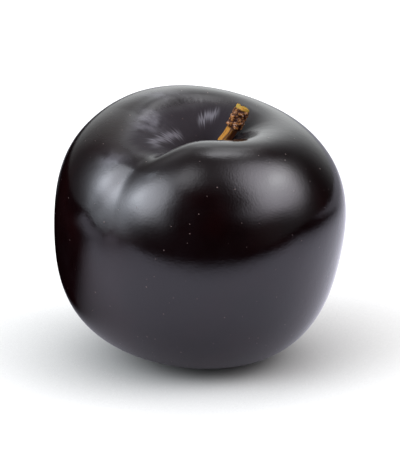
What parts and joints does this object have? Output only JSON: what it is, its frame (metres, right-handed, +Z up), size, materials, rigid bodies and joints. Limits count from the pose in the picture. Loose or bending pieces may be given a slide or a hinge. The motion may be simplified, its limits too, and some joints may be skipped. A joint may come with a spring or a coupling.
{
  "type": "plum",
  "caption": "Ripe black plum with a deep stem cavity, a suture valley over the shoulder and a short woody stem, resting on its blossom end.",
  "frame": {"origin": "on the surface that the plum rests on, under the middle of its box", "axes": "+Z up; the suture runs down the front left, towards -X and -Y; the stem leans towards +X"},
  "size_m": [0.0618, 0.0634, 0.0557],
  "materials": {
    "skin": "glossy dark skin with a thin waxy bloom",
    "stem": "dry and fibrous, with a warty brown head"
  },
  "bodies": {
    "root": {"plum_fruit": "skin", "plum_stem": "stem"}
  },
  "joints": []
}
